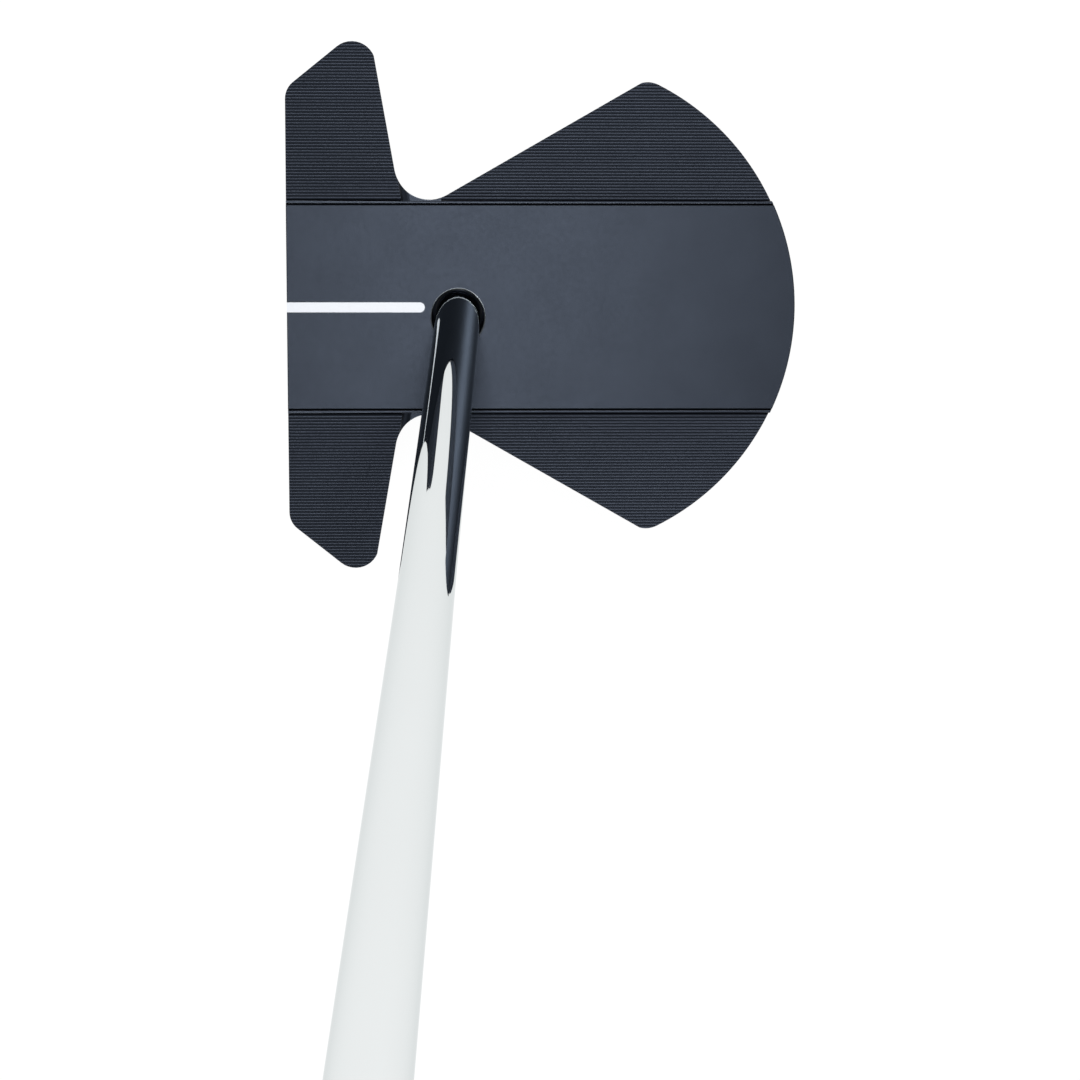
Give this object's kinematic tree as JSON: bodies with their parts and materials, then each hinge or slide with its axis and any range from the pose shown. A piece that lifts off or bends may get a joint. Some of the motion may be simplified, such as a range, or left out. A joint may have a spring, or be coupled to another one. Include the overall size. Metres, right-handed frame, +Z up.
{
  "type": "mallet putter",
  "caption": "Winged mallet putter with a smooth raised band between ribbed wings, a white aiming line, a chrome shaft entering the top of the head, and a flat-front grip.",
  "frame": {"origin": "on the underside of the sole plate, on the middle plane of the head, level with the shaft's axis along the line of aim", "axes": "+Z up with the club at address; +X towards the heel and the player, the way the shaft leans; +Y from the face towards the back, so the ball leaves along -Y"},
  "size_m": [0.3586, 0.1081, 0.8151],
  "materials": {
    "black_anodised_aluminium": "black anodised: bead-blasted satin band, fine milled ribs on the wings and the fan",
    "white_line_paint": "white enamel filled into a milled groove",
    "face_aluminium": "satin, finely milled",
    "damping_elastomer": "matt",
    "sole_steel": "brushed heel to toe",
    "screw_steel": "turned, slightly darkened",
    "cover_aluminium": "black anodised satin",
    "gasket_rubber": "matt",
    "weight_steel": "turned face",
    "washer_nylon": "matt black",
    "sleeve_steel": "bright",
    "epoxy": "cured adhesive",
    "shaft_chrome": "mirror chrome plate on steel",
    "grip_tape_paper": "double-sided tape",
    "grip_core_foam": "closed-cell foam",
    "grip_polyurethane": "fine-grained, matt",
    "grip_rubber": "matt",
    "cap_rubber": "matt"
  },
  "bodies": {
    "root": {"head_body": "black_anodised_aluminium", "alignment_line": "white_line_paint", "face_insert": "face_aluminium", "face_damping_pad": "damping_elastomer", "sole_plate": "sole_steel", "sole_plate_screws": "screw_steel", "rear_cover": "cover_aluminium", "rear_cover_gasket": "gasket_rubber", "rear_cover_screws": "screw_steel", "front_heel_weight": "weight_steel", "front_toe_weight": "weight_steel", "rear_heel_weight": "weight_steel", "rear_toe_weight": "weight_steel", "weight_washers": "washer_nylon", "weight_thread_sleeves": "sleeve_steel", "epoxy_sleeve": "epoxy", "shaft": "shaft_chrome", "grip_tape": "grip_tape_paper", "grip_core": "grip_core_foam", "grip_skin": "grip_polyurethane", "grip_collar": "grip_rubber", "grip_end_cap": "cap_rubber"}
  },
  "joints": []
}
